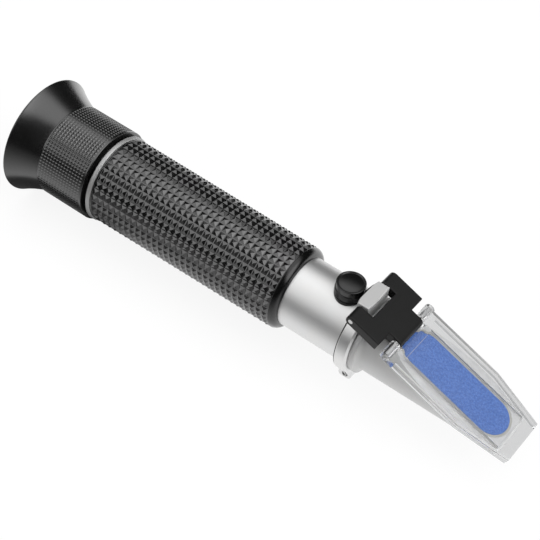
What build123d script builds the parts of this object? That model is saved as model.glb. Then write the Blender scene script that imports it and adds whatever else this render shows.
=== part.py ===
from build123d import *
import os
from math import cos, radians, sin, sqrt, tan

# Handheld salinity refractometer, in millimetres.
# The pieces are modelled about the optical axis: X runs from the eyecup's rim to the
# prism end, Z is up. The last lines move them, so that the part's origin is at the
# middle of its length, on the surface that the instrument lies on.

# Clearances
running = 0.05  # radius, a shaft or tube that turns or slides in its bore
seat = 0.03  # radius, glued, screwed and pressed fits
play = 0.3  # between pieces that pass each other
film = 0.1  # sample film between the prism and the closed plate

# Eyecup and focus ring
eyecup_radius = 20.2
eyecup_length = 10.7
eyecup_lip = 1.3
eyecup_bulge = 0.5
cup_floor_x = 9.6
cup_floor_radius = 11.8
spigot_length = 4.3
spigot_radius = 13.4
spigot_wall = 2.1
ring_radius = 15.95
ring_length = 18.75
ring_chamfer = 0.35
ring_flange = 1.6
groove_gap = 1.3

# Focus tube and its lenses
tube_radius = 9.35
tube_wall = 1.25
tube_length = 29.0
tube_stand_in = 0.4
tube_shoulder = 1.3
tube_shoulder_radius = 12.0
snap_ring_width = 1.0
snap_ring_radius = 10.8
snap_groove_depth = 0.45
lens_ring_width = 1.5
lens_ring_opening = 6.7
eye_lens_thickness = 3.4
eye_lens_edge = 1.2
spacer_length = 12.0
spacer_wall = 0.9
field_lens_thickness = 3.0
field_lens_edge = 1.2
lens_ledge = 0.9
focus_in = 0.9
focus_out = 3.0

# Neck and key
neck_radius = 12.9
neck_spigot = 11.3
key_x = 25.0
key_radius = 1.0
key_clearance = 0.15
key_engagement = 0.65

# Barrel, trim ring and grip
barrel_radius = 11.75
barrel_wall = 1.5
barrel_length = 100.0
trim_radius = 15.15
trim_width = 1.6
grip_rear_radius = 14.75
grip_front_radius = 14.2
bare_barrel = 21.95
lip_length = 2.4
lip_round = 2.0
lip_groove = 0.35

# Reticle and light baffle
reticle_gap = 1.0
reticle_holder_length = 6.0
reticle_radius = 8.75
reticle_thickness = 1.4
reticle_ring = 1.6
reticle_opening = 7.2
baffle_gap = 32.1
baffle_width = 2.0
baffle_opening = 6.0

# Objective carriage, moved by the calibration knob
knob_from_end = 8.65
knob_radius = 4.35
knob_top_z = 16.6
knob_round = 0.7
knob_dish = 0.5
knob_ribs = 22
rib_radius = 0.32
ribbed_height = 2.2
gasket_radius = 4.75
gasket_rise = 0.2
gasket_wall = 1.4
bush_radius = 2.6
bush_top = 0.25
spindle_radius = 1.5
spindle_in_knob = 2.4
eccentric = 0.8
eccentric_radius = 0.9
eccentric_clearance = 0.1
carriage_rear = 10.0  # from the spindle's axis to the carriage's rear end
carriage_front = 6.4
carriage_wall = 1.9
objective_thickness = 3.0
objective_edge = 1.3
objective_seat_depth = 4.0
objective_opening = 7.4
objective_radius = 8.8
pad_length = 5.0
pad_width = 5.2
pad_height = 0.8
strip_length = 18.0
strip_width = 4.0
strip_thickness = 0.5
strip_screw_radius = 0.7
strip_screw_head = 1.1
strip_screw_pitch = 2.4

# Prism housing
barrel_in_band = 3.35
barrel_seal_length = 0.45
band_length = 4.45
band_chamfer = 0.55
band_chamfer_depth = 0.3
band_round = 0.6
band_radius = 13.75
groove_width = 0.3
groove_radius = 12.25
collar_step = 1.4
collar_step_radius = 12.4
snout_blend = 1.75
snout_radius = 10.5
snout_length = 54.8
light_bore = 8.8
housing_roof = 2.0

# Hinge boss on the clamp band
hinge_z = 14.95
hinge_from_band = 2.65
pin_radius = 0.75
boss_width = 11.3
boss_rise = 1.85
boss_front = 1.95
boss_rear = 1.9
boss_bow = 0.9
boss_front_bow = 0.3
boss_round = 0.35
boss_slot = 0.5
boss_slot_depth = 0.9

# Clamp lug under the band
lug_width = 8.3
lug_from_band = 0.05
lug_length = 4.5
lug_slope = 0.6
lug_corner = 1.2
lug_edge = 0.6
lug_clearance = 0.5
lug_split = 0.8
screw_above_foot = 1.75
screw_from_lug = 0.3
screw_radius = 0.6
screw_head_radius = 1.05
screw_head_depth = 1.0
screw_sink = 0.45
screw_slot = 0.35
screw_slot_depth = 0.4

# Hinge bracket: it lies in a plane that dips towards the prism's tip
dip = 20.5
bracket_half = 1.7
bracket_width = 23.6
bracket_front = 10.55
pin_pitch = 14.1
tongue_width = 12.1
notch_front = 3.75
notch_clearance = 0.35
bracket_round = 0.35

# Daylight plate, measured from the plate pin
plate_width = 24.4
plate_straight = 28.15
plate_length = 46.45
plate_tip_width = 17.3
plate_top = 0.5
plate_floor = 1.1
plate_round = 0.2
plate_corner = 0.4
skirt_wall = 1.3
pad_start = 4.75
pad_end = 41.65
contact_width = 14.0
channel_start = 3.6
plate_notch_depth = 2.45
plate_notch_clearance = 0.45
plate_notch_corner = 0.8

# Prism and its sealant
prism_start = 0.65  # from the plate pin to the rear end of the blue face
prism_face_length = 39.85
prism_width = 12.4
prism_depth = 14.0
prism_body_radius = 8.6
seal_width = 0.8
seal_depth = 1.2
flat_gap = 0.2  # the metal face lies this far under the bracket and the plate

# Places worked out from the sizes above
ring_front_x = eyecup_length + ring_length
trim_x = ring_front_x + groove_gap
grip_x = trim_x + trim_width
spigot_end_x = eyecup_length + spigot_length
flange_front_x = spigot_end_x + ring_flange
shoulder_x = flange_front_x + running
neck_x = shoulder_x + tube_shoulder + focus_in + play
tube_x = cup_floor_x + tube_stand_in
tube_bore = tube_radius - tube_wall
neck_bore = tube_radius + running
barrel_bore = barrel_radius - barrel_wall
barrel_end_x = trim_x + barrel_length
housing_x = barrel_end_x - barrel_in_band
grip_end_x = housing_x - bare_barrel
knob_x = barrel_end_x - knob_from_end
lug_x = housing_x + lug_from_band
screw_x = lug_x + screw_from_lug
screw_z = screw_above_foot - eyecup_radius
carriage_x = knob_x - carriage_rear
carriage_end_x = knob_x + carriage_front
carriage_radius = barrel_bore - running
baffle_x = carriage_x - baffle_gap - baffle_width
gasket_top_z = barrel_radius + gasket_rise
knob_z = gasket_top_z + play
band_end_x = housing_x + band_length
socket_end_x = barrel_end_x + barrel_seal_length
collar_x = band_end_x + groove_width
snout_x = collar_x + collar_step + snout_blend
housing_end_x = housing_x + snout_length
hinge_x = housing_x + hinge_from_band
bracket_under = -bracket_half
flat_height = bracket_under - flat_gap
prism_height = bracket_under - film
lid_plane = Plane(
    origin=(hinge_x, 0, hinge_z),
    x_dir=(cos(radians(dip)), 0, -sin(radians(dip))),
    z_dir=(sin(radians(dip)), 0, cos(radians(dip))),
)
plate_end = pin_pitch + plate_length
overall_length = hinge_x + plate_end * cos(radians(dip)) + plate_top * sin(radians(dip))

parts = {}


def turned(*profile):
    """A solid turned about the optical axis, from (x, radius) corners."""
    corners = [(x, 0, radius) for x, radius in profile]
    return revolve(make_face(Polyline(*corners, close=True)), Axis.X, 360)


def ring(x, length, outer, inner):
    """A plain ring or tube about the optical axis."""
    return turned((x, inner), (x, outer), (x + length, outer), (x + length, inner))


def rod(x, length, radius):
    """A plain disc or bar about the optical axis."""
    return Pos(x + length / 2, 0, 0) * Rot(0, 90, 0) * Cylinder(radius, length)


def cross_pin(x, z, y_from, y_to, radius):
    """A bar that runs across the instrument, along Y."""
    middle = Pos(x, (y_from + y_to) / 2, z)
    return middle * Rot(90, 0, 0) * Cylinder(radius, y_to - y_from)


def post(x, y, z_from, z_to, radius):
    """An upright bar."""
    return Pos(x, y, (z_from + z_to) / 2) * Cylinder(radius, z_to - z_from)


def block(x_from, x_to, y_from, y_to, z_from, z_to):
    """A box between two corners."""
    middle = Pos((x_from + x_to) / 2, (y_from + y_to) / 2, (z_from + z_to) / 2)
    return middle * Box(x_to - x_from, y_to - y_from, z_to - z_from)


def lens(x, radius, thickness, edge):
    """A biconvex lens about the optical axis, with a plain ground edge."""
    bulge = (thickness - edge) / 2
    ball = (radius**2 + bulge**2) / (2 * bulge)
    rear = Pos(x + ball, 0, 0) * Sphere(ball)
    front = Pos(x + thickness - ball, 0, 0) * Sphere(ball)
    return rod(x, thickness, radius) & rear & front


def eyecup():
    """Flared cup with a flat rim, a floor with a hole for the tube, and a spigot."""
    flare = (eyecup_radius - ring_radius) / eyecup_length
    middle_radius = (eyecup_radius + ring_radius) / 2 - eyecup_bulge
    outer = ThreePointArc(
        (eyecup_lip / 2, 0, eyecup_radius),
        (eyecup_length / 2, 0, middle_radius),
        (eyecup_length, 0, ring_radius - ring_chamfer),
    )
    rim = ThreePointArc(
        (0, 0, eyecup_radius - eyecup_lip / 2),
        (eyecup_lip / 6, 0, eyecup_radius - eyecup_lip / 6),
        (eyecup_lip / 2, 0, eyecup_radius),
    )
    inner = ThreePointArc(
        (cup_floor_x, 0, cup_floor_radius),
        (cup_floor_x * 0.62, 0, eyecup_radius - eyecup_lip - flare * cup_floor_x),
        (0, 0, eyecup_radius - eyecup_lip),
    )
    hole = tube_radius + play
    back = Polyline(
        (eyecup_length, 0, ring_radius - ring_chamfer),
        (eyecup_length, 0, spigot_radius),
        (spigot_end_x, 0, spigot_radius),
        (spigot_end_x, 0, spigot_radius - spigot_wall),
        (eyecup_length + ring_chamfer, 0, spigot_radius - spigot_wall),
        (eyecup_length + ring_chamfer, 0, hole),
        (cup_floor_x, 0, hole),
        (cup_floor_x, 0, cup_floor_radius),
    )
    lip = Line((0, 0, eyecup_radius - eyecup_lip), (0, 0, eyecup_radius - eyecup_lip / 2))
    return revolve(make_face(rim + outer + back + inner + lip), Axis.X, 360)


def focus_ring():
    """Sleeve that screws along the neck and carries the eyecup and the tube."""
    socket = spigot_radius + seat
    return turned(
        (eyecup_length, socket),
        (eyecup_length, ring_radius - ring_chamfer),
        (eyecup_length + ring_chamfer, ring_radius),
        (ring_front_x - ring_chamfer, ring_radius),
        (ring_front_x, ring_radius - ring_chamfer),
        (ring_front_x, neck_radius + running),
        (flange_front_x, neck_radius + running),
        (flange_front_x, tube_radius + running),
        (spigot_end_x, tube_radius + running),
        (spigot_end_x, socket),
    )


def focus_tube():
    """Sliding lens tube with a shoulder, a snap ring groove and a key slot."""
    end_x = tube_x + tube_length
    seat_x = tube_x + lens_ring_width + eye_lens_thickness + spacer_length + field_lens_thickness
    groove_x = spigot_end_x - running - snap_ring_width
    tube = turned(
        (tube_x, tube_bore),
        (tube_x, tube_radius),
        (shoulder_x, tube_radius),
        (shoulder_x, tube_shoulder_radius),
        (shoulder_x + tube_shoulder, tube_shoulder_radius),
        (shoulder_x + tube_shoulder, tube_radius),
        (end_x, tube_radius),
        (end_x, tube_bore - lens_ledge),
        (seat_x, tube_bore - lens_ledge),
        (seat_x, tube_bore),
    )
    groove = ring(groove_x, snap_ring_width, tube_radius + 1, tube_radius - snap_groove_depth)
    half_slot = key_radius + key_clearance
    slot = block(
        key_x - half_slot - focus_in,
        key_x + half_slot + focus_out,
        -half_slot,
        half_slot,
        -tube_radius - 1,
        key_engagement + key_clearance - tube_radius,
    )
    return tube - groove - slot


def eyepiece_optics():
    """Lens ring, eye lens, spacer and field lens, stacked in the tube."""
    radius = tube_bore - seat
    x = tube_x
    parts["eye_lens_retainer"] = ring(x, lens_ring_width, radius, lens_ring_opening)
    x += lens_ring_width
    parts["eye_lens"] = lens(x, radius, eye_lens_thickness, eye_lens_edge)
    x += eye_lens_thickness
    parts["lens_spacer"] = ring(x, spacer_length, radius, radius - spacer_wall)
    x += spacer_length
    parts["field_lens"] = lens(x, radius, field_lens_thickness, field_lens_edge)


def focus_snap_ring():
    """Open ring in the tube's groove, behind the focus ring's flange."""
    x = spigot_end_x - running - snap_ring_width
    washer = ring(x, snap_ring_width, snap_ring_radius, tube_radius - snap_groove_depth + seat)
    gap = block(x - 1, x + 2 * snap_ring_width, -1.2, 1.2, tube_radius - 2, snap_ring_radius + 1)
    return washer - gap


def focus_neck():
    """Neck that the focus ring screws along, with a spigot in the barrel."""
    spigot_end = trim_x + neck_spigot
    neck = turned(
        (neck_x, neck_bore),
        (neck_x, neck_radius),
        (trim_x, neck_radius),
        (trim_x, barrel_bore - seat),
        (spigot_end, barrel_bore - seat),
        (spigot_end, neck_bore),
    )
    return neck - post(key_x, 0, -neck_radius - 1, -neck_bore + 1, key_radius + seat)


def focus_key():
    """Dog screw in the neck, with its tip in the tube's slot."""
    return post(key_x, 0, -neck_radius + play / 2, key_engagement - tube_radius, key_radius)


def barrel():
    """Aluminium tube with a hole for the spindle's bush."""
    tube = ring(trim_x, barrel_length, barrel_radius, barrel_bore)
    return tube - post(knob_x, 0, 0, barrel_radius + 1, bush_radius)


def rubber_grip():
    """Sleeve that tapers to a smooth lip with a rounded front edge."""
    end_x = grip_end_x
    lip_x = end_x - lip_length
    bore = barrel_radius + seat
    round_middle = lip_round * (1 - sqrt(0.5))
    outside = Polyline(
        (grip_x, 0, bore),
        (grip_x, 0, grip_rear_radius),
        (lip_x - lip_groove, 0, grip_front_radius),
        (lip_x, 0, grip_front_radius - lip_groove),
        (lip_x + lip_groove, 0, grip_front_radius),
        (end_x - lip_round, 0, grip_front_radius),
    )
    rounding = ThreePointArc(
        (end_x - lip_round, 0, grip_front_radius),
        (end_x - round_middle, 0, grip_front_radius - round_middle),
        (end_x, 0, grip_front_radius - lip_round),
    )
    inside = Polyline((end_x, 0, grip_front_radius - lip_round), (end_x, 0, bore), (grip_x, 0, bore))
    return revolve(make_face(outside + rounding + inside), Axis.X, 360)


def reticle_group():
    """Scale disc in its holder, with a screwed ring behind it."""
    x = trim_x + neck_spigot + reticle_gap
    disc_x = x + reticle_ring
    holder_end = x + reticle_holder_length
    parts["reticle_holder"] = turned(
        (x, reticle_radius + seat),
        (x, barrel_bore - seat),
        (holder_end, barrel_bore - seat),
        (holder_end, reticle_opening),
        (disc_x + reticle_thickness, reticle_opening),
        (disc_x + reticle_thickness, reticle_radius + seat),
    )
    parts["reticle_retainer"] = ring(x, reticle_ring, reticle_radius, reticle_opening)
    parts["reticle"] = rod(disc_x, reticle_thickness, reticle_radius)


def objective_group():
    """Objective lens in its carriage, with the temperature strip at the rear."""
    bore = carriage_radius - carriage_wall
    lens_x = carriage_end_x - objective_seat_depth
    carriage = turned(
        (carriage_x, bore),
        (carriage_x, carriage_radius),
        (carriage_end_x, carriage_radius),
        (carriage_end_x, objective_radius + seat),
        (lens_x, objective_radius + seat),
        (lens_x, objective_opening),
        (lens_x - 1, objective_opening),
        (lens_x - 1, bore),
    )
    pad_top = pad_height - bore
    pad = block(
        carriage_x, carriage_x + pad_length, -pad_width / 2, pad_width / 2, -bore - 0.6, pad_top
    )
    half_slot = eccentric_radius + eccentric_clearance
    slot_reach = eccentric + half_slot + eccentric_clearance
    slot = block(
        knob_x - half_slot, knob_x + half_slot, -slot_reach, slot_reach, 0, carriage_radius + 1
    )
    strip_x = carriage_x + pad_length - strip_length
    strip = block(
        strip_x,
        carriage_x + pad_length,
        -strip_width / 2,
        strip_width / 2,
        pad_top,
        pad_top + strip_thickness,
    )
    screws = []
    holes = []
    for side in (-1, 1):
        x = carriage_x + pad_length / 2 + side * strip_screw_pitch / 2
        strip_top = pad_top + strip_thickness
        stem = post(x, 0, pad_top - pad_height, strip_top, strip_screw_radius)
        screws.append(stem + post(x, 0, strip_top, strip_top + 0.6, strip_screw_head))
        holes.append(post(x, 0, pad_top - pad_height, strip_top + 1, strip_screw_radius + seat))
    parts["objective_carriage"] = carriage + pad - slot - holes
    parts["bimetal_strip"] = strip - holes
    parts["bimetal_screws"] = Compound(children=screws)
    parts["objective_lens"] = lens(lens_x, objective_radius, objective_thickness, objective_edge)
    retainer_x = lens_x + objective_thickness
    retainer_length = carriage_end_x - retainer_x
    parts["objective_retainer"] = ring(
        retainer_x, retainer_length, objective_radius, objective_opening
    )


def calibration_group():
    """Ribbed knob on a spindle whose eccentric tip moves the carriage."""
    bore_top = knob_z + spindle_in_knob
    knob = post(knob_x, 0, knob_z, knob_top_z, knob_radius)
    knob = fillet(knob.edges().group_by(Axis.Z)[-1], knob_round)
    dish_radius = knob_radius - knob_round
    dish_ball = (dish_radius**2 + knob_dish**2) / (2 * knob_dish)
    knob -= Pos(knob_x, 0, knob_top_z + dish_ball - knob_dish) * Sphere(dish_ball)
    knob -= post(knob_x, 0, knob_z, bore_top, spindle_radius + seat)
    rib_gap = Pos(knob_radius + rib_radius * 0.3, 0, knob_z + ribbed_height / 2) * Cylinder(
        rib_radius, ribbed_height
    )
    for index in range(knob_ribs):
        knob -= Pos(knob_x, 0, 0) * Rot(0, 0, 360 * index / knob_ribs) * rib_gap
    parts["calibration_knob"] = knob

    shoulder_z = carriage_radius + play / 2
    spindle = post(knob_x, 0, shoulder_z, bore_top, spindle_radius)
    tip_z = carriage_radius - carriage_wall + running
    tip = post(knob_x, -eccentric, tip_z, shoulder_z, eccentric_radius)
    parts["calibration_spindle"] = spindle + tip

    bush_z = barrel_bore + play / 2
    bush = post(knob_x, 0, bush_z, barrel_radius + bush_top, bush_radius - seat)
    parts["spindle_bush"] = bush - post(knob_x, 0, 0, knob_z, spindle_radius + running)

    skirt = post(knob_x, 0, 0, gasket_top_z, gasket_radius)
    skirt -= post(knob_x, 0, 0, gasket_top_z, gasket_radius - gasket_wall)
    under_x = knob_x - 2 * gasket_radius
    parts["knob_gasket"] = skirt - rod(under_x, 4 * gasket_radius, barrel_radius + seat)


def flat_z(x):
    """Height of the housing's dipping face above the optical axis."""
    return hinge_z + flat_height / cos(radians(dip)) - tan(radians(dip)) * (x - hinge_x)


def hinge_boss():
    """Bowed block on the clamp band, between the bracket's ears."""
    front = hinge_x + boss_front
    rear = hinge_x - boss_rear
    half = boss_width / 2
    plan = make_face(
        Line((rear, half), (front, half))
        + ThreePointArc((front, half), (front + boss_front_bow, 0), (front, -half))
        + Line((front, -half), (rear, -half))
        + ThreePointArc((rear, -half), (rear - boss_bow, 0), (rear, half))
    )
    base_z = sqrt(barrel_radius**2 - half**2)
    boss = extrude(Pos(0, 0, base_z) * plan, hinge_z + boss_rise - base_z)
    return fillet(boss.edges().group_by(Axis.Z)[-1], boss_round)


def clamp_lug():
    """Lug under the clamp band, with a flat foot and a sloping front."""
    rear = lug_x - lug_length / 2
    front = lug_x + lug_length / 2
    top = -barrel_radius - lug_clearance
    foot = -eyecup_radius
    outline = make_face(
        Polyline(
            (rear, 0, top), (rear, 0, foot), (front, 0, foot), (front + lug_slope, 0, top), close=True
        )
    )
    lug = extrude(outline, lug_width / 2, dir=(0, 1, 0), both=True)
    low_edges = lug.edges().filter_by(Axis.Y).group_by(Axis.Z)[0]
    lug = fillet(low_edges, lug_corner)
    sides = lug.faces().sort_by(Axis.Y)
    side_edges = sides[0].edges() + sides[-1].edges()
    return chamfer(side_edges - side_edges.group_by(Axis.Z)[-1], lug_edge / 2)


def prism_outline(border, height):
    """Rounded slot in the dipping plane, round the prism's face."""
    width = prism_width + 2 * border
    middle = pin_pitch + prism_start + prism_face_length / 2
    slot = SlotOverall(prism_face_length + 2 * border, width)
    return lid_plane * Pos(middle, 0, height) * slot


def prism_solid(border):
    """Prism with a dipping face on top and an upright face towards the lenses."""
    blank = extrude(prism_outline(border, prism_height), -prism_depth, dir=lid_plane.z_dir)
    rear_x = hinge_x + (pin_pitch + prism_start) * cos(radians(dip)) - border
    return blank & rod(rear_x, snout_length, prism_body_radius + border)


def prism_housing():
    """Clamp band, collar and snout in one, with the prism's seat in a dipping face."""
    blend_middle = snout_radius + (collar_step_radius - snout_radius) * 0.28
    blend_x = snout_x - snout_blend
    outside = (
        Polyline(
            (housing_x, 0, 0),
            (housing_x, 0, band_radius - band_chamfer_depth),
            (housing_x + band_chamfer, 0, band_radius),
            (band_end_x - band_round, 0, band_radius),
            (band_end_x, 0, band_radius - band_round),
            (band_end_x, 0, groove_radius),
            (collar_x, 0, groove_radius),
            (collar_x, 0, collar_step_radius),
            (blend_x, 0, collar_step_radius),
        )
        + ThreePointArc(
            (blend_x, 0, collar_step_radius),
            (blend_x + snout_blend * 0.28, 0, blend_middle),
            (snout_x, 0, snout_radius),
        )
        + Polyline(
            (snout_x, 0, snout_radius),
            (housing_end_x, 0, snout_radius),
            (housing_end_x, 0, 0),
            (housing_x, 0, 0),
        )
    )
    body = revolve(make_face(outside), Axis.X, 360) + clamp_lug()
    front = hinge_x + boss_front + boss_front_bow
    far = housing_end_x + 5
    above_face = make_face(
        Polyline(
            (front, 0, flat_z(front)), (far, 0, flat_z(far)), (far, 0, 40), (front, 0, 40), close=True
        )
    )
    body -= extrude(above_face, snout_length, dir=(0, 1, 0), both=True)
    half = boss_width / 2
    slot_z = flat_z(front) - boss_slot_depth
    body -= block(hinge_x, front + boss_slot, -half, half, slot_z, hinge_z)
    body += hinge_boss()
    body -= rod(housing_x - 5, socket_end_x - housing_x + 5, barrel_radius + seat)
    light = rod(socket_end_x - 1, prism_rear_x() - socket_end_x + 1, light_bore)
    under_roof = Pos(0, 0, flat_height - housing_roof - snout_length / 2)
    body -= light & lid_plane * under_roof * Box(4 * snout_length, snout_length, snout_length)
    body -= prism_solid(seat)
    body -= extrude(prism_outline(seal_width, flat_height - seal_depth), 30, dir=lid_plane.z_dir)
    body -= cross_pin(hinge_x, hinge_z, -boss_width, boss_width, pin_radius + seat)
    rear = lug_x - lug_length
    body -= block(rear, socket_end_x, -lug_split / 2, lug_split / 2, -eyecup_radius - 1, 0)
    body -= clamp_screw_hole()
    return body


def prism_rear_x():
    """Place of the prism's upright face."""
    return hinge_x + (pin_pitch + prism_start) * cos(radians(dip))


def clamp_screw_hole():
    """Counterbored hole across the lug, tapped in its far half."""
    face = -lug_width / 2
    seat_y = face + screw_sink + screw_head_depth
    bore = cross_pin(screw_x, screw_z, face - 1, -face + 1, screw_radius + seat)
    sink = cross_pin(screw_x, screw_z, face - 1, seat_y, screw_head_radius + seat)
    return bore + sink


def clamp_screw():
    """Slotted cheese-head screw, sunk in the lug's near side."""
    head_y = screw_sink - lug_width / 2
    head = cross_pin(screw_x, screw_z, head_y, head_y + screw_head_depth, screw_head_radius)
    slot = Pos(screw_x, head_y, screw_z) * Rot(0, 35, 0) * Box(
        3 * screw_head_radius, 2 * screw_slot_depth, screw_slot
    )
    shank = cross_pin(screw_x, screw_z, head_y, lug_width / 2 - play, screw_radius)
    return head + shank - slot


def hinge_bracket():
    """Cross-shaped bracket: two ears behind, a narrow tongue in front."""
    side = Pos(pin_pitch / 2, 0, 0) * Rot(90, 0, 0) * SlotCenterToCenter(pin_pitch, 2 * bracket_half)
    slab = extrude(side, bracket_width / 2, both=True)
    half = bracket_width / 2
    tongue = tongue_width / 2
    inner = boss_width / 2 + notch_clearance
    tall = 2 * bracket_half
    slab -= block(-2 * tall, notch_front, -inner, inner, -tall, tall)
    for side_sign in (-1, 1):
        low, high = sorted((side_sign * tongue, side_sign * (half + 1)))
        slab -= block(bracket_front, pin_pitch + tall, low, high, -tall, tall)
    top = slab.faces().filter_by(Plane.XY).sort_by(Axis.Z)[-1]
    sharp = [edge for edge in top.edges() if play < edge.center().X < pin_pitch - play]
    ends = slab.faces().sort_by(Axis.Y)
    slab = fillet(sharp + ends[0].edges() + ends[-1].edges(), bracket_round)
    slab -= cross_pin(0, 0, -half - 1, half + 1, pin_radius + running)
    slab -= cross_pin(pin_pitch, 0, -half, half, pin_radius + seat)
    return lid_plane * slab


def daylight_plate():
    """Clear plate with knuckles, side skirts and a pad that spreads the sample."""
    rear = pin_pitch
    bend = pin_pitch + plate_straight
    half = plate_width / 2
    tip = plate_tip_width / 2
    outline = make_face(
        Polyline((rear, -half), (bend, -half), (plate_end, -tip), (plate_end, tip), (bend, half),
                 (rear, half), close=True)
    )
    plate = extrude(Pos(0, 0, bracket_under) * outline, plate_top - bracket_under)
    corners = [edge for edge in plate.edges().filter_by(Axis.Z) if edge.center().X > rear + play]
    plate = fillet(corners, plate_corner)
    rim = [edge for edge in plate.faces().sort_by(Axis.Z)[-1].edges() if edge.center().X > rear + play]
    plate = fillet(rim, plate_round)
    plate += cross_pin(pin_pitch, 0, -half, half, bracket_half)
    inner = half - skirt_wall
    inner_tip = tip - skirt_wall
    start = pin_pitch + channel_start
    channel_outline = make_face(
        Polyline((start, -inner), (bend, -inner), (plate_end, -inner_tip),
                 (plate_end + 2, -inner_tip), (plate_end + 2, inner_tip), (plate_end, inner_tip),
                 (bend, inner), (start, inner), close=True)
    )
    channel_depth = plate_top - plate_floor - bracket_under
    channel = extrude(Pos(0, 0, bracket_under) * channel_outline, channel_depth)
    contact = contact_width / 2
    channel -= block(
        pin_pitch + pad_start, pin_pitch + pad_end, -contact, contact, -9, 9
    )
    plate -= channel
    notch_half = tongue_width / 2 + plate_notch_clearance
    notch_end = pin_pitch + plate_notch_depth
    notch = block(pin_pitch - 9, notch_end, -notch_half, notch_half, -9, 9)
    notch = fillet(notch.edges().filter_by(Axis.Z).group_by(Axis.X)[-1], plate_notch_corner)
    plate -= notch
    plate -= cross_pin(pin_pitch, 0, -half - 1, half + 1, pin_radius + running)
    return lid_plane * plate


def prism_seal():
    """Sealant border between the prism's top edge and the housing."""
    floor = flat_height - seal_depth
    border = extrude(prism_outline(seal_width - seat, floor), seal_depth, dir=lid_plane.z_dir)
    core = extrude(prism_outline(seat, floor - 1), seal_depth + 2, dir=lid_plane.z_dir)
    return border - core


def hinge_pins():
    """Steel pins of the bracket's hinge and of the plate's hinge."""
    reach = bracket_width / 2 - running
    parts["hinge_pin"] = cross_pin(hinge_x, hinge_z, -reach, reach, pin_radius)
    parts["plate_pin"] = lid_plane * cross_pin(pin_pitch, 0, -reach, reach, pin_radius)


parts["eyecup"] = eyecup()
parts["focus_ring"] = focus_ring()
parts["focus_tube"] = focus_tube()
eyepiece_optics()
parts["focus_snap_ring"] = focus_snap_ring()
parts["focus_neck"] = focus_neck()
parts["focus_key"] = focus_key()
parts["barrel"] = barrel()
parts["trim_ring"] = ring(trim_x, trim_width, trim_radius, barrel_radius + seat)
parts["rubber_grip"] = rubber_grip()
reticle_group()
parts["light_baffle"] = ring(baffle_x, baffle_width, barrel_bore - seat, baffle_opening)
objective_group()
calibration_group()
parts["barrel_seal"] = ring(barrel_end_x, barrel_seal_length, barrel_radius, light_bore)
parts["prism_housing"] = prism_housing()
parts["clamp_screw"] = clamp_screw()
parts["prism"] = prism_solid(0)
parts["prism_seal"] = prism_seal()
parts["hinge_bracket"] = hinge_bracket()
parts["daylight_plate"] = daylight_plate()
hinge_pins()

os.makedirs("parts", exist_ok=True)
to_origin = Pos(-overall_length / 2, 0, eyecup_radius)
for name, shape in parts.items():
    export_step(to_origin * shape, f"parts/{name}.step")
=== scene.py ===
"""Looks of a handheld salinity refractometer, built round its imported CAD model."""

import math

import bmesh
import bpy
from mathutils import Matrix, Vector


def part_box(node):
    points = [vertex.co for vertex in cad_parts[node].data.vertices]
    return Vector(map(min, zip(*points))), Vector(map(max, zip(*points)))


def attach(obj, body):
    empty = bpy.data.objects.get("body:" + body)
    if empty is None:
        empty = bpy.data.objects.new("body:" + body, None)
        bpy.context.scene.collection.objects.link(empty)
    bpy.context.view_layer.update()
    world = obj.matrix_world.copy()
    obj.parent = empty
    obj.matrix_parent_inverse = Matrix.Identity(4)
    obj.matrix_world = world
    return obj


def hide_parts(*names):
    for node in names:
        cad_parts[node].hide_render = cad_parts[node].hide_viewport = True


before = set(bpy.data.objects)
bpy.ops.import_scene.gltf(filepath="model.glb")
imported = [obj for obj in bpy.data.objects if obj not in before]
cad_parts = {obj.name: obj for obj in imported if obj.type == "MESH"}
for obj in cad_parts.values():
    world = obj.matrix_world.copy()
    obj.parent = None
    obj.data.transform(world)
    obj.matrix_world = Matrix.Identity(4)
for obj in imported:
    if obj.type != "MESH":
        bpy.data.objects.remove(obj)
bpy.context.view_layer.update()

# Camera, floor and light.
# The camera looks down on the instrument's near side. A broad soft box hangs over it, the sides
# of the studio are dark, and a pale table lies under it.
camera_place = Vector((0.166766, -0.273137, 0.369719))
camera_right = Vector((0.79772442, 0.59683271, 0.08617694))
camera_up = Vector((-0.48935953, 0.55721153, 0.67085211))
camera_lens = 101.76
camera_near = 0.01

camera = bpy.data.objects.new("camera", bpy.data.cameras.new("camera"))
bpy.context.scene.collection.objects.link(camera)
camera_turn = Matrix((camera_right, camera_up, camera_right.cross(camera_up))).transposed()
camera.matrix_world = Matrix.Translation(camera_place) @ camera_turn.to_4x4()
camera.data.lens = camera_lens
camera.data.clip_start = camera_near
bpy.context.scene.camera = camera
bpy.context.scene.view_settings.view_transform = "Standard"


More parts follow.
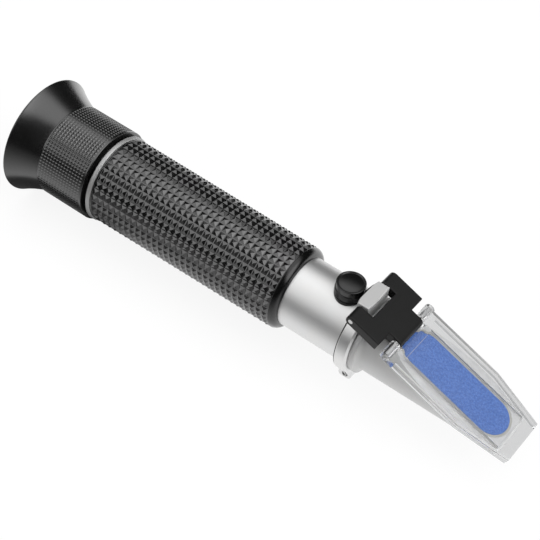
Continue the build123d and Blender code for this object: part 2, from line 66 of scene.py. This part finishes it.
class Wire:
    """One value in a material, on which plain sums can be written."""

    def __init__(self, paint, socket):
        self.paint = paint
        self.socket = socket

    def maths(self, operation, first, second=0.0):
        return self.paint.node("ShaderNodeMath", {"operation": operation}, {0: first, 1: second})

    def __add__(self, other):
        return self.maths("ADD", self, other)

    def __sub__(self, other):
        return self.maths("SUBTRACT", self, other)

    def __rsub__(self, other):
        return self.maths("SUBTRACT", other, self)

    def __mul__(self, other):
        return self.maths("MULTIPLY", self, other)

    def __truediv__(self, other):
        return self.maths("DIVIDE", self, other)

    def __pow__(self, other):
        return self.maths("POWER", self, other)

    def __abs__(self):
        return self.maths("ABSOLUTE", self)

    __radd__ = __add__
    __rmul__ = __mul__

    def beside(self, name):
        """Another output of the same node."""
        return Wire(self.paint, self.socket.node.outputs[name])

    def most(self, other):
        return self.maths("MAXIMUM", self, other)

    def least(self, other):
        return self.maths("MINIMUM", self, other)

    def rise(self, low, high):
        """0 below low, 1 above high, and a soft step between them."""
        settings = {"interpolation_type": "SMOOTHSTEP"}
        return self.paint.node(
            "ShaderNodeMapRange", settings, {"Value": self, "From Min": low, "From Max": high}
        )

    def fall(self, low, high):
        """1 below low, 0 above high, and a soft step between them."""
        return 1 - self.rise(low, high)


class Paint:
    """The node tree of a material or the world, filled one node at a time."""

    def __init__(self, owner):
        owner.use_nodes = True
        self.owner = owner
        self.tree = owner.node_tree
        self.tree.nodes.clear()

    def node(self, kind, settings=None, sockets=None, out=0):
        made = self.tree.nodes.new(kind)
        for name, value in (settings or {}).items():
            setattr(made, name, value)
        for name, value in (sockets or {}).items():
            if isinstance(value, Wire):
                self.tree.links.new(value.socket, made.inputs[name])
            else:
                made.inputs[name].default_value = value
        return Wire(self, made.outputs[out] if made.outputs else None)

    def mix(self, share, first, second):
        """A colour part way from the first to the second."""
        sockets = {0: share, 6: first, 7: second}
        return self.node("ShaderNodeMix", {"data_type": "RGBA"}, sockets, out=2)

    def cover(self, share, under, over):
        """A surface part way from the one under to the one over it."""
        return self.node("ShaderNodeMixShader", None, {0: share, 1: under, 2: over})


def grey(level):
    return (level, level, level, 1.0)


# Lean is in degrees from straight up, positive towards the camera, and reach is the share of a
# direction that points along the instrument, positive towards its prism. There the soft box
# ends so many degrees sooner. Clear plastic is seen through against a dimmer room.
box_light = 1.75
box_far_edge = (-45, -25)
box_near_edge = (73, 88)
box_rear_end = (-0.85, -0.6)
box_slant = 30
box_shorter = 73
shorter_from = (-0.2, 0.0)
wall_light = 0.5
wall_edge = (-112, -78)
lamp_light = 1.6
lamp_rear_end = (0.42, 0.6)
lamp_far_edge = (-42, -25)
lamp_near_edge = (20, 40)
room_light = 0.025
room_through = 0.35
box_through = 0.3

studio = Paint(bpy.data.worlds.new("studio"))
bpy.context.scene.world = studio.owner
direction = studio.node("ShaderNodeTexCoord", out=0)
reach = studio.node("ShaderNodeSeparateXYZ", None, {0: direction})
lean = reach.maths("ARCTAN2", 0.0 - reach.beside("Y"), reach.beside("Z")) * (180 / math.pi)
slanted = lean + box_shorter * reach.rise(*shorter_from) - box_slant * reach
soft_box = lean.rise(*box_far_edge) * slanted.fall(*box_near_edge) * reach.rise(*box_rear_end)
far_wall = lean.fall(*wall_edge)
lamp = reach.rise(*lamp_rear_end) * lean.rise(*lamp_far_edge) * lean.fall(*lamp_near_edge)
light = room_light + box_light * soft_box + wall_light * far_wall + lamp_light * lamp
seen = studio.node("ShaderNodeLightPath")
light = light + seen.beside("Is Transmission Ray") * (room_through - box_through * soft_box)
level = light + (1 - light) * seen
background = studio.node("ShaderNodeBackground", None, {"Color": grey(1.0), "Strength": level})
studio.node("ShaderNodeOutputWorld", None, {"Surface": background})

floor_half = 1.5
floor_shape = bmesh.new()
bmesh.ops.create_grid(floor_shape, x_segments=1, y_segments=1, size=floor_half)
floor = bpy.data.objects.new("floor", bpy.data.meshes.new("floor"))
floor_shape.to_mesh(floor.data)
floor_shape.free()
bpy.context.scene.collection.objects.link(floor)

# What polished faces mirror of the table is painted: shade on the near side and under the
# eyecup, and more light towards the far side.
table_dim = 0.15
table_lit = 1.05
table_far = 0.45
far_from = (0.03, 0.12)
shade_from = -0.03
shade_depth = 0.045
cup_shade = 0.97
cup_shade_front = (-0.06, -0.04)
cup_shade_side = (0.0245, 0.028)
table_seen = 0.9
table_through = 0.6
table_pale = grey(0.85)
table_hidden = grey(0.1)

table_top = Paint(bpy.data.materials.new("table_top"))
seen = table_top.node("ShaderNodeLightPath")
through = seen.beside("Is Transmission Ray")
glossy = seen.beside("Is Glossy Ray") * (1 - through)
place = table_top.node("ShaderNodeTexCoord", out=3)
along = table_top.node("ShaderNodeSeparateXYZ", None, {0: place})
across = along.beside("Y")
nearer = (across - shade_from).least(0.0) / shade_depth
mirrored = table_dim + table_lit * nearer.maths("EXPONENT", nearer)
mirrored = mirrored + table_far * across.rise(*far_from)
under_cup = along.fall(*cup_shade_front) * abs(across).fall(*cup_shade_side)
mirrored = mirrored * (1 - cup_shade * under_cup)
strength = table_seen * seen + table_through * through + mirrored * glossy
colour = table_top.mix(seen.most(through.most(glossy)), table_pale, table_hidden)
glow = table_top.node("ShaderNodeEmission", None, {"Color": grey(1.0), "Strength": strength})
sheet = table_top.node("ShaderNodeBsdfDiffuse", None, {"Color": colour})
surface = table_top.node("ShaderNodeAddShader", None, {0: glow, 1: sheet})
table_top.node("ShaderNodeOutputMaterial", None, {"Surface": surface})
floor.data.materials.append(table_top.owner)

# Eyecup.
# A flared cup of hard black plastic, turned to a satin finish, with a thin rounded rim.
# It is pushed into the focus ring and turns with it.
rim_out = 20.2
flare_round = 5.4
ring_rear = 10.7
ring_rear_out = 15.6
cup_spigot = 13.4
cup_front = 15.0
cup_inside = 11.3
eye_floor = 9.6
eye_opening = 9.65
smooth_steps = 192
cup_corners = [
    (0, 18.9, 0.25),
    (0, rim_out, 0.55),
    (0.65, rim_out, 0.25),
    (5.317, 17.118, flare_round),
    (ring_rear, ring_rear_out, 0),
    (ring_rear, cup_spigot, 0),
    (cup_front, cup_spigot, 0.2),
    (cup_front, cup_inside, 0.2),
    (11.05, cup_inside, 0),
    (11.05, eye_opening, 0),
    (eye_floor, eye_opening, 0.15),
    (eye_floor, 11.8, 0.4),
    (5.364, 16.112, flare_round),
]
rim_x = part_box("eyecup")[0].x
axis_z = (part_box("eyecup")[0].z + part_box("eyecup")[1].z) / 2
on_axis = Matrix.Translation((rim_x, 0, axis_z)) @ Matrix.Scale(0.001, 4)


def swing(corners, steps, about=(1, 0, 0), start=0.0, cells=None):
    """Swings a closed outline once round the axis, in millimetres.

    A corner is (along, radius, round). The outline starts at that angle. Cells is (low, high,
    rows), where the outermost line between those two places is cut into that many rows.
    """
    arc_steps = 6
    near_enough = 0.001
    weld = 0.0005
    shape = bmesh.new()
    along = Vector(about)
    out = Vector((0, 0, 1)) if about[0] else Vector((1, 0, 0))
    places = [along * x + out * radius for x, radius, _ in corners]
    loop = [shape.verts.new(place) for place in places]
    shape.faces.new(loop)
    for vert, corner in zip(loop, corners):
        if corner[2]:
            bmesh.ops.bevel(
                shape,
                geom=[vert],
                offset=corner[2],
                offset_type="OFFSET",
                segments=arc_steps,
                profile=0.5,
                affect="VERTICES",
                material=-1,
                clamp_overlap=True,
            )
    bmesh.ops.delete(shape, geom=shape.faces[:], context="FACES_ONLY")
    if cells:
        low, high, rows = cells
        lines = []
        for edge in shape.edges:
            ends = sorted(vert.co.dot(along) for vert in edge.verts)
            if abs(ends[0] - low) < near_enough and abs(ends[1] - high) < near_enough:
                lines.append(edge)
        outermost = max(lines, key=lambda edge: edge.verts[0].co.dot(out))
        bmesh.ops.subdivide_edges(shape, edges=[outermost], cuts=rows - 1)
    on_the_axis = [e for e in shape.edges if all(v.co.dot(out) < near_enough for v in e.verts)]
    bmesh.ops.delete(shape, geom=on_the_axis, context="EDGES")
    turn = Matrix.Rotation(start, 4, along)
    bmesh.ops.transform(shape, matrix=turn, verts=shape.verts)
    bmesh.ops.spin(
        shape,
        geom=shape.verts[:] + shape.edges[:],
        cent=(0, 0, 0),
        axis=about,
        angle=2 * math.pi,
        steps=steps,
        use_merge=True,
    )
    bmesh.ops.remove_doubles(shape, verts=shape.verts, dist=weld)
    bmesh.ops.recalc_face_normals(shape, faces=shape.faces)
    return shape


def finished(name, shape, paint, crease=35):
    """The drawn shape as a piece in its place, with its paint and crisp edges over the crease."""
    bmesh.ops.transform(shape, matrix=on_axis, verts=shape.verts)
    piece = bpy.data.objects.new(name, bpy.data.meshes.new(name))
    shape.to_mesh(piece.data)
    shape.free()
    piece.data.shade_smooth()
    piece.data.set_sharp_from_angle(angle=math.radians(crease))
    piece.data.materials.append(paint.owner)
    bpy.context.scene.collection.objects.link(piece)
    return piece


def on_the_lathe(paint):
    """Place in millimetres, with the optical axis at no height."""
    place = paint.node("ShaderNodeTexCoord", out=3)
    settings = {"vector_type": "POINT"}
    sockets = {0: place, "Location": (0, 0, -axis_z * 1000), "Scale": (1000, 1000, 1000)}
    return paint.node("ShaderNodeMapping", settings, sockets)


def speckle(paint, place, size, detail=2.0):
    """Fine cloudy grain, from 0 to 1, with spots of about that size in millimetres."""
    sockets = {"Vector": place, "Scale": 1 / size, "Detail": detail}
    return paint.node("ShaderNodeTexNoise", None, sockets)


def relief(paint, height, strength, depth):
    """The surface's normal over a fine relief, whose depth is in millimetres."""
    sockets = {"Strength": strength, "Distance": depth / 1000, "Height": height}
    return paint.node("ShaderNodeBump", None, sockets)


def opaque(paint, sockets):
    """Closes a material of one solid surface."""
    shader = paint.node("ShaderNodeBsdfPrincipled", None, sockets)
    paint.node("ShaderNodeOutputMaterial", None, {"Surface": shader})
    return paint


def black_plastic(name, level, gloss, grain, turned=0.0, shine=0.95):
    """Hard black plastic: faint cloudiness, fine grain, and turning marks round the axis."""
    paint = Paint(bpy.data.materials.new(name))
    place = on_the_lathe(paint)
    clouds = speckle(paint, place, 4.0)
    fine = speckle(paint, place, grain)
    stretched = {"vector_type": "POINT"}
    marks_at = paint.node("ShaderNodeMapping", stretched, {0: place, "Scale": (3.0, 0.12, 0.12)})
    marks = speckle(paint, marks_at, 1.0, 3.0)
    sockets = {
        "Base Color": paint.mix(clouds, grey(level * 0.8), grey(level * 1.25)),
        "Roughness": gloss + 0.06 * clouds + 0.04 * fine,
        "Normal": relief(paint, 0.4 * fine + turned * marks, strength=0.35, depth=0.02),
        "Specular IOR Level": shine,
    }
    return opaque(paint, sockets)


cup_plastic = black_plastic("cup_plastic", 0.004, 0.2, 0.12, turned=1.0)
eyecup = finished("eyecup_shell", swing(cup_corners, smooth_steps), cup_plastic)
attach(eyecup, "eyepiece")
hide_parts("eyecup")

# Focus ring.
# A sleeve of the same plastic with fifteen rings of small cut studs for the fingers,
# and a narrow plain band at its front edge.
stud_rows = 15
stud_columns = 92
stud_turn = math.radians(12.54)
stud_groove = 0.1
stud_slope = 0.3
stud_height = 0.26
stud_start = 11.1
stud_end = 28.67
ring_out = 15.95
ring_front = 29.45
ring_shelf = 16.6
ring_bore = 9.4
neck_fit = 12.95
cup_fit = cup_spigot + 0.03
stud_foot = ring_out - stud_height
ring_corners = [
    (ring_rear, cup_fit, 0),
    (ring_rear, ring_rear_out, 0.1),
    (10.85, stud_foot, 0),
    (stud_start, stud_foot, 0),
    (stud_end, stud_foot, 0),
    (stud_end + 0.12, stud_foot, 0),
    (stud_end + 0.2, ring_out, 0.05),
    (ring_front, ring_out, 0.25),
    (ring_front, neck_fit, 0),
    (ring_shelf, neck_fit, 0),
    (ring_shelf, ring_bore, 0),
    (cup_front, ring_bore, 0),
    (cup_front, cup_fit, 0),
]


def raise_cells(shape, low, high, inner, groove, slope, height):
    """Raises each cell between two places along the axis, outside a radius, from a groove."""
    cells = []
    for face in shape.faces:
        middle = face.calc_center_median()
        if low < middle.x < high and middle.yz.length > inner:
            cells.append(face)
    for inset, lift in ((groove, 0.0), (slope, height)):
        bmesh.ops.inset_individual(
            shape, faces=cells, thickness=inset, depth=lift, use_even_offset=True
        )


stud_cells = (stud_start, stud_end, stud_rows)
ring_shape = swing(ring_corners, stud_columns, start=stud_turn, cells=stud_cells)
raise_cells(
    ring_shape, stud_start, stud_end, stud_foot - 0.2, stud_groove, stud_slope, stud_height
)
ring_plastic = black_plastic("ring_plastic", 0.005, 0.15, 0.12)
focus_ring = finished("focus_ring_studded", ring_shape, ring_plastic, crease=15)
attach(focus_ring, "eyepiece")
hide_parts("focus_ring")

# Trim ring.
# A bright aluminium ring between the neck and the rubber.
# It is turned, finely brushed and slipped over the barrel.
trim_rear = 30.75
trim_front = 32.35
trim_out = 15.15
trim_round = 0.5
barrel_fit = 11.78
trim_corners = [
    (trim_rear, barrel_fit, 0),
    (trim_rear, trim_out, trim_round),
    (trim_front, trim_out, trim_round),
    (trim_front, barrel_fit, 0),
]


def bare_metal(name, level, gloss, grain, marked, tint=(1, 1, 1), blasted=(), shaded_step=()):
    """Metal with fine marks round the axis and a soft variation of its colour and shine.

    It is duller in front of and above the two places in blasted. Behind the first place in
    shaded_step, outside its radius and above its height, it is painted dark as shade in a step.
    """
    paint = Paint(bpy.data.materials.new(name))
    place = on_the_lathe(paint)
    along = paint.node("ShaderNodeSeparateXYZ", None, {0: place})
    side = along.beside("Y")
    height = along.beside("Z")
    radius = (side * side + height * height) ** 0.5
    clouds = speckle(paint, place, 5.0)
    fine = speckle(paint, place, grain)
    marks_at = paint.node("ShaderNodeCombineXYZ", None, {0: along, 1: radius})
    marks = speckle(paint, marks_at, 0.12, 3.0)
    red, green, blue = (level * share for share in tint)
    warm = (red * 1.01, green, blue * 0.985, 1.0)
    cool = (red * 0.93, green * 0.94, blue * 0.95, 1.0)
    colour = paint.mix(clouds, cool, warm)
    roughness = gloss + 0.06 * clouds + 0.06 * marks
    if blasted:
        front, top = blasted
        dull = along.rise(front, front + 0.2).most(height.rise(top, top + 0.1))
        roughness = roughness + 0.3 * dull
    # Painted shade: the step behind the rear place is painted almost black.
    if shaded_step:
        rear, inside, foot = shaded_step
        painted_step_shade = along.fall(rear, rear + 0.1) * radius.rise(inside, inside + 0.05)
        painted_step_shade = painted_step_shade * height.rise(foot, foot + 0.4)
        colour = paint.mix(painted_step_shade, colour, grey(0.03))
    sockets = {
        "Base Color": colour,
        "Roughness": roughness,
        "Metallic": 1.0,
        "Normal": relief(paint, 0.5 * fine + marks, strength=marked, depth=0.01),
    }
    return opaque(paint, sockets)


bright_trim = bare_metal("bright_trim", 0.47, 0.55, 0.2, 0.2)
trim_ring = finished("trim_ring_polished", swing(trim_corners, smooth_steps), bright_trim)
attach(trim_ring, "instrument")
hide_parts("trim_ring")

# Rubber grip.
# A moulded rubber sleeve with rows of small pyramids, which ends in a bead and a smooth
# lip with a rounded front edge.
pyramid_rows = 31
pyramid_columns = 38
pyramid_turn = math.radians(-2.65)
pyramid_groove = 0.13
pyramid_slope = 0.88
pyramid_height = 0.52
grip_start = 32.84
grip_end = 102.85
grip_rear_out = 14.75
grip_front_out = 14.2
grip_depth = 0.42
lip_front = 105.45
grip_corners = [
    (trim_front, barrel_fit, 0),
    (trim_front, grip_rear_out, 0.2),
    (grip_start - 0.2, grip_rear_out, 0.1),
    (grip_start, grip_rear_out - grip_depth, 0),
    (grip_end, grip_front_out - grip_depth, 0),
    (103.1, grip_front_out, 0.2),
    (103.5, 14.1, 0.2),
    (lip_front, 13.3, 1.6),
    (lip_front, barrel_fit, 0.1),
]
grip_cells = (grip_start, grip_end, pyramid_rows)
grip_shape = swing(grip_corners, pyramid_columns, start=pyramid_turn, cells=grip_cells)
raise_cells(
    grip_shape,
    grip_start,
    grip_end,
    grip_front_out - 1.2,
    pyramid_groove,
    pyramid_slope,
    pyramid_height,
)


def moulded_rubber(name, level, shine=0.5):
    """Dark rubber with a fine grain and a little dust in it."""
    paint = Paint(bpy.data.materials.new(name))
    place = on_the_lathe(paint)
    clouds = speckle(paint, place, 6.0)
    fine = speckle(paint, place, 0.09)
    dust = speckle(paint, place, 0.25, 4.0).rise(0.6, 0.75)
    colour = paint.mix(clouds, grey(level * 0.85), grey(level * 1.2))
    sockets = {
        "Base Color": paint.mix(0.25 * dust, colour, grey(level * 3)),
        "Roughness": 0.14 + 0.08 * fine,
        "Normal": relief(paint, fine, strength=0.4, depth=0.03),
        "Specular IOR Level": shine,
    }
    return opaque(paint, sockets)


grip_rubber = moulded_rubber("grip_rubber", 0.003, shine=1.0)
lip_rubber = moulded_rubber("lip_rubber", 0.003, shine=0.45)
rubber_grip = finished("rubber_grip_moulded", grip_shape, grip_rubber, crease=12)
rubber_grip.data.materials.append(lip_rubber.owner)
for polygon in rubber_grip.data.polygons:
    if polygon.center.x > rim_x + 0.001 * (grip_end + 0.3):
        polygon.material_index = 1
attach(rubber_grip, "instrument")
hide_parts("rubber_grip")

# Focus neck, tube and lenses.
# A black neck with a key in it, the sliding tube with its snap ring, and two lenses.


def coat(node, paint):
    """Gives a CAD node its paint."""
    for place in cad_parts[node].material_slots:
        place.material = paint.owner


for node in ("focus_neck", "focus_tube", "eye_lens_retainer", "lens_spacer"):
    coat(node, black_plastic("inner_black_" + node, 0.01, 0.4, 0.1, turned=1.0))
for node in ("focus_snap_ring", "focus_key"):
    coat(node, bare_metal("inner_steel_" + node, 0.6, 0.25, 0.15, 0.3))


def clear_lens(name, tint):
    """Polished optical glass, faintly coated, which lets light through to what it shades."""
    paint = Paint(bpy.data.materials.new(name))
    clouds = speckle(paint, on_the_lathe(paint), 3.0)
    sockets = {
        "Base Color": paint.mix(clouds, grey(1.0), tint),
        "Roughness": 0.02 + 0.02 * clouds,
        "IOR": 1.52,
        "Transmission Weight": 1.0,
    }
    glass = paint.node("ShaderNodeBsdfPrincipled", None, sockets)
    clear = paint.node("ShaderNodeBsdfTransparent", None, {"Color": tint})
    shadow = paint.node("ShaderNodeLightPath", out=1)
    paint.node("ShaderNodeOutputMaterial", None, {"Surface": paint.cover(shadow, glass, clear)})
    return paint


for node in ("eye_lens", "field_lens", "objective_lens", "reticle"):
    coat(node, clear_lens("coated_" + node, (0.94, 0.96, 0.98, 1.0)))

# Barrel and the pieces in it.
# The barrel is an aluminium tube with a pale satin finish. The reticle sits in a holder,
# and a carriage with the objective slides in the tube's front end.
coat("barrel", bare_metal("barrel_metal", 0.68, 0.43, 0.1, 0.3))
for node in ("reticle_holder", "reticle_retainer", "light_baffle", "objective_carriage"):
    coat(node, black_plastic("blackened_" + node, 0.012, 0.45, 0.1, turned=1.0))
coat("objective_retainer", black_plastic("blackened_retainer", 0.012, 0.4, 0.1, turned=1.0))
coat("bimetal_strip", bare_metal("strip_metal", 0.62, 0.3, 0.1, 0.4))
coat("bimetal_screws", bare_metal("screw_steel", 0.65, 0.25, 0.1, 0.3))
coat("calibration_spindle", bare_metal("spindle_steel", 0.65, 0.25, 0.1, 0.3))
coat("spindle_bush", bare_metal("bush_brass", 0.8, 0.3, 0.1, 0.3, tint=(1, 0.72, 0.3)))
coat("barrel_seal", moulded_rubber("seal_rubber", 0.012))

# Calibration knob.
# A glossy black plastic knob with a dished top and a ribbed foot, pressed on its spindle.
# A soft black gasket lies between it and the barrel.
knob_x = 122.1
knob_foot = 12.25
knob_foot_radius = 4.72
knob_top = 16.5
spindle_fit = 1.53
spindle_end = 14.65
rib_count = 88
rib_start = 12.6
rib_end = 14.3
rib_end_radius = 4.62
rib_groove = 0.07
rib_height = 0.12
knob_corners = [
    (knob_foot, spindle_fit, 0),
    (knob_foot, knob_foot_radius, 0.1),
    (rib_start, knob_foot_radius, 0),
    (rib_end, rib_end_radius, 0),
    (14.5, 4.5, 0.2),
    (knob_top, 4.6, 0.2),
    (knob_top, 4.1, 0.1),
    (16.27, 3.9, 0.1),
    (16.45, 2.8, 0),
    (16.57, 1.4, 0),
    (16.6, 0, 0),
    (spindle_end, 0, 0),
    (spindle_end, spindle_fit, 0),
]
knob_shape = swing(knob_corners, rib_count, about=(0, 0, 1))
ribs = []
for face in knob_shape.faces:
    middle = face.calc_center_median()
    if rib_start < middle.z < rib_end and middle.xy.length > rib_end_radius - 0.1:
        ribs.append(face)
bmesh.ops.inset_individual(
    knob_shape, faces=ribs, thickness=rib_groove, depth=rib_height, use_even_offset=True
)
bmesh.ops.transform(knob_shape, matrix=Matrix.Translation((knob_x, 0, 0)), verts=knob_shape.verts)
knob_plastic = black_plastic("knob_plastic", 0.005, 0.14, 0.3, shine=0.5)
knob = finished("calibration_knob_dished", knob_shape, knob_plastic)
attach(knob, "knob")
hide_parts("calibration_knob")
coat("knob_gasket", moulded_rubber("gasket_rubber", 0.012))

# Prism housing.
# A cast and turned aluminium head: the clamp band with its lug and hinge boss, a groove,
# and the snout whose upper side is cut away flat for the prism.
band_front = 38.4
boss_top = 13.85
# A dark line is painted as shade in the step at the clamp band's rear edge, above the lug.
step_shade_front = 34.26
step_shade_inside = 13.42
step_shade_foot = -13.6
housing_metal = bare_metal(
    "housing_metal",
    0.66,
    0.36,
    0.1,
    0.3,
    blasted=(band_front, boss_top),
    shaded_step=(step_shade_front, step_shade_inside, step_shade_foot),
)
coat("prism_housing", housing_metal)
coat("clamp_screw", bare_metal("clamp_steel", 0.7, 0.2, 0.1, 0.3))

# Prism.
# Blue glass with a finely ground face, let into the flat of the housing.
# A bead of grey sealant is run round it.
deep_blue = (0.037, 0.112, 0.4, 1.0)
pale_blue = (0.101, 0.222, 0.607, 1.0)
sealant_dark = (0.36, 0.36, 0.34, 1.0)
sealant_pale = (0.52, 0.51, 0.47, 1.0)

prism_glass = Paint(bpy.data.materials.new("prism_glass"))
place = on_the_lathe(prism_glass)
fine = speckle(prism_glass, place, 0.6, 3.0).rise(0.3, 0.7)
clouds = speckle(prism_glass, place, 3.0)
sockets = {
    "Base Color": prism_glass.mix(fine * 0.7 + clouds * 0.3, deep_blue, pale_blue),
    "Roughness": 0.3 + 0.1 * fine,
}
coat("prism", opaque(prism_glass, sockets))

sealant = Paint(bpy.data.materials.new("sealant"))
fine = speckle(sealant, on_the_lathe(sealant), 0.3, 3.0)
sockets = {
    "Base Color": sealant.mix(fine, sealant_dark, sealant_pale),
    "Roughness": 0.5,
    "Normal": relief(sealant, fine, strength=0.5, depth=0.05),
}
coat("prism_seal", opaque(sealant, sockets))

# Hinge.
# A black painted bracket swings on a steel pin through the boss.
# A second pin through its tongue carries the plate.
coat("hinge_bracket", black_plastic("bracket_paint", 0.004, 0.36, 0.08, shine=0.3))
coat("hinge_pin", bare_metal("hinge_pin_steel", 0.55, 0.3, 0.2, 0.2))
coat("plate_pin", bare_metal("plate_pin_steel", 0.5, 0.25, 0.2, 0.2))

# Daylight plate.
# A clear acrylic cover with turned-down sides and a flat pad that spreads the sample.
# Its knuckles are worn dull, the pad's side walls are ground, and its rear edge is a fine line.
plate_dip = math.radians(20.5)
hinge_along = 36.5795
hinge_height = 14.95
knuckle_front = 52.0
pad_half = 7.0
pad_rear = 19.0
wall_top = (-0.7, -0.62)
line_half = 0.12
line_side = (6.4, 6.5)
line_top = (-1.2, -1.0)
cool_clear = (0.95, 0.955, 0.96, 1.0)
clearest = (0.98, 0.985, 0.99, 1.0)

plate_acrylic = Paint(bpy.data.materials.new("plate_acrylic"))
place = on_the_lathe(plate_acrylic)
along = plate_acrylic.node("ShaderNodeSeparateXYZ", None, {0: place})
clouds = speckle(plate_acrylic, place, 4.0)
worn = along.fall(knuckle_front - 0.5, knuckle_front)
sockets = {
    "Base Color": plate_acrylic.mix(clouds, cool_clear, clearest),
    "Roughness": 0.02 + 0.03 * clouds + 0.22 * worn,
    "IOR": 1.49,
    "Transmission Weight": 1.0,
}
acrylic = plate_acrylic.node("ShaderNodeBsdfPrincipled", None, sockets)

# Shadows, soft light, and light already turned back twice inside pass straight through.
clear = plate_acrylic.node("ShaderNodeBsdfTransparent", None, {"Color": grey(0.95)})
shadow = plate_acrylic.node("ShaderNodeLightPath", out=1)
turned_back = shadow.beside("Glossy Depth").rise(1.2, 1.8)
passing = shadow.most(shadow.beside("Is Diffuse Ray")).most(turned_back)
surface = plate_acrylic.cover(passing, acrylic, clear)

side = abs(along.beside("Y"))
forward = along - hinge_along
upward = along.beside("Z") - hinge_height
height = forward * math.sin(plate_dip) + upward * math.cos(plate_dip)
length = forward * math.cos(plate_dip) - upward * math.sin(plate_dip)
walls = side.rise(pad_half - 0.1, pad_half - 0.05) * side.fall(pad_half + 0.05, pad_half + 0.1)
walls = walls * height.fall(*wall_top)
line = length.rise(pad_rear - line_half, pad_rear) * length.fall(pad_rear, pad_rear + line_half)
line = line * side.fall(*line_side) * height.fall(*line_top)
ground = plate_acrylic.node("ShaderNodeBsdfDiffuse", None, {"Color": grey(0.62)})
white = plate_acrylic.node("ShaderNodeBsdfDiffuse", None, {"Color": grey(0.95)})
surface = plate_acrylic.cover(walls, surface, ground)
surface = plate_acrylic.cover(0.5 * line, surface, white)
plate_acrylic.node("ShaderNodeOutputMaterial", None, {"Surface": surface})
coat("daylight_plate", plate_acrylic)
